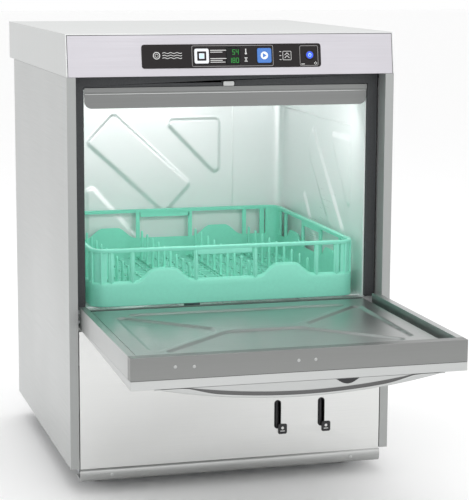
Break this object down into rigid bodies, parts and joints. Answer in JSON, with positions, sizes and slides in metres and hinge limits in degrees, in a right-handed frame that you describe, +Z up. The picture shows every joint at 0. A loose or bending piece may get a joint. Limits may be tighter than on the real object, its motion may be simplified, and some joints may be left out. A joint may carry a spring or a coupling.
{
  "type": "commercial dishwasher",
  "caption": "Undercounter front-loading dishwasher for commercial kitchens with a drop-down door, sliding square rack, rotating arms and push-button panel.",
  "frame": {"origin": "on the floor, under the middle of the machine's box with the door open", "axes": "+X to the machine's right seen from the front, +Y to its back, +Z up; the door opens towards -Y"},
  "size_m": [0.6, 1.077, 0.82],
  "materials": {
    "stainless_brushed": "satin stainless sheet with a fine grain",
    "stainless_fascia": "satin stainless sheet, slightly brighter than the cabinet",
    "stainless_polished": "smooth bright stainless of the wash chamber",
    "stainless_dark": "satin stainless in shade",
    "zinc_sheet": "zinc-coated sheet",
    "black_plastic": "moulded black plastic",
    "grey_plastic": "moulded grey plastic",
    "white_plastic": "glossy white key",
    "blue_plastic": "glossy blue key",
    "overlay_film": "dark brown control film",
    "smoked_window": "smoked display window",
    "circuit_board": "green circuit board",
    "black_rubber": "black door seal rubber",
    "arm_plastic": "grey moulded arm hub",
    "motor_paint": "dark painted motor",
    "brass": "plain brass valve body",
    "mint_plastic": "mint green rack plastic"
  },
  "bodies": {
    "cabinet": {"side_panel_left": "stainless_brushed", "side_panel_right": "stainless_brushed", "rear_panel": "zinc_sheet", "top_hood": "stainless_brushed", "lower_front_panel": "stainless_brushed", "base_pan": "zinc_sheet", "foot_front_left": "black_plastic", "foot_front_right": "black_plastic", "foot_rear_left": "black_plastic", "foot_rear_right": "black_plastic", "dosing_unit": "black_plastic", "control_fascia": "stainless_fascia", "control_overlay": "overlay_film", "display_module": "smoked_window", "control_board": "circuit_board", "control_housing": "grey_plastic", "door_seal": "black_rubber", "door_catch": "stainless_polished", "door_header": "stainless_dark", "door_sill": "stainless_dark", "liner_left": "stainless_polished", "liner_right": "stainless_polished", "liner_rear": "stainless_polished", "liner_top": "stainless_polished", "wash_tank": "stainless_polished", "filter_tray_left": "stainless_polished", "filter_tray_right": "stainless_polished", "rack_rail_left": "stainless_polished", "rack_rail_right": "stainless_polished", "tank_heater": "stainless_dark", "lower_hub": "arm_plastic", "upper_hub": "arm_plastic", "pump_volute": "black_plastic", "pump_motor": "motor_paint", "rinse_boiler": "stainless_dark", "inlet_valve": "brass", "drain_hose": "grey_plastic", "wash_riser": "black_rubber", "electrical_box": "grey_plastic", "cable_gland": "black_plastic", "hinge_bracket_left": "zinc_sheet", "hinge_bracket_right": "zinc_sheet", "hinge_spring_left": "stainless_dark", "hinge_spring_right": "stainless_dark"},
    "door": {"door_inner_panel": "stainless_polished", "door_side_rail_left": "stainless_brushed", "door_side_rail_right": "stainless_brushed", "door_front_rail": "stainless_brushed", "door_outer_skin": "stainless_brushed", "door_handle": "stainless_brushed"},
    "rack": {"dish_rack": "mint_plastic"},
    "program_key": {"program_button": "white_plastic"},
    "start_key": {"start_button": "blue_plastic"},
    "power_key": {"power_button": "black_plastic"},
    "lower_washer": {"lower_wash_arm": "stainless_polished"},
    "lower_rinser": {"lower_rinse_arm": "stainless_polished"},
    "upper_washer": {"upper_wash_arm": "stainless_polished"},
    "upper_rinser": {"upper_rinse_arm": "stainless_polished"},
    "impeller": {"pump_impeller": "grey_plastic"},
    "standpipe": {"overflow_standpipe": "grey_plastic"}
  },
  "joints": [
    {"name": "door_hinge", "type": "hinge", "parent": "cabinet", "child": "door", "pos_m": [0, -0.114, 0.3145], "axis": [-1, 0, 0], "range_deg": [0, 90]},
    {"name": "rack_slide", "type": "slide", "parent": "cabinet", "child": "rack", "axis": [0, 1, 0], "range_m": [-0.422, 0]},
    {"name": "program_press", "type": "slide", "parent": "cabinet", "child": "program_key", "axis": [0, 0.9877, -0.1564], "range_m": [0, 0.0015], "stiffness_N_per_m": 300, "springref_m": -0.002},
    {"name": "start_press", "type": "slide", "parent": "cabinet", "child": "start_key", "axis": [0, 0.9877, -0.1564], "range_m": [0, 0.0015], "stiffness_N_per_m": 300, "springref_m": -0.002},
    {"name": "power_press", "type": "slide", "parent": "cabinet", "child": "power_key", "axis": [0, 0.9877, -0.1564], "range_m": [0, 0.0015], "stiffness_N_per_m": 300, "springref_m": -0.002},
    {"name": "lower_wash_spin", "type": "hinge", "parent": "cabinet", "child": "lower_washer", "pos_m": [0, 0.18, 0.293], "axis": [0, 0, 1], "continuous": true},
    {"name": "lower_rinse_spin", "type": "hinge", "parent": "cabinet", "child": "lower_rinser", "pos_m": [0, 0.18, 0.307], "axis": [0, 0, 1], "continuous": true},
    {"name": "upper_wash_spin", "type": "hinge", "parent": "cabinet", "child": "upper_washer", "pos_m": [0, 0.18, 0.702], "axis": [0, 0, 1], "continuous": true},
    {"name": "upper_rinse_spin", "type": "hinge", "parent": "cabinet", "child": "upper_rinser", "pos_m": [0, 0.18, 0.687], "axis": [0, 0, 1], "continuous": true},
    {"name": "impeller_spin", "type": "hinge", "parent": "cabinet", "child": "impeller", "pos_m": [-0.04, 0.0755, 0.098], "axis": [1, 0, 0], "continuous": true},
    {"name": "standpipe_lift", "type": "slide", "parent": "cabinet", "child": "standpipe", "axis": [0, 0, 1], "range_m": [0, 0.04]}
  ]
}
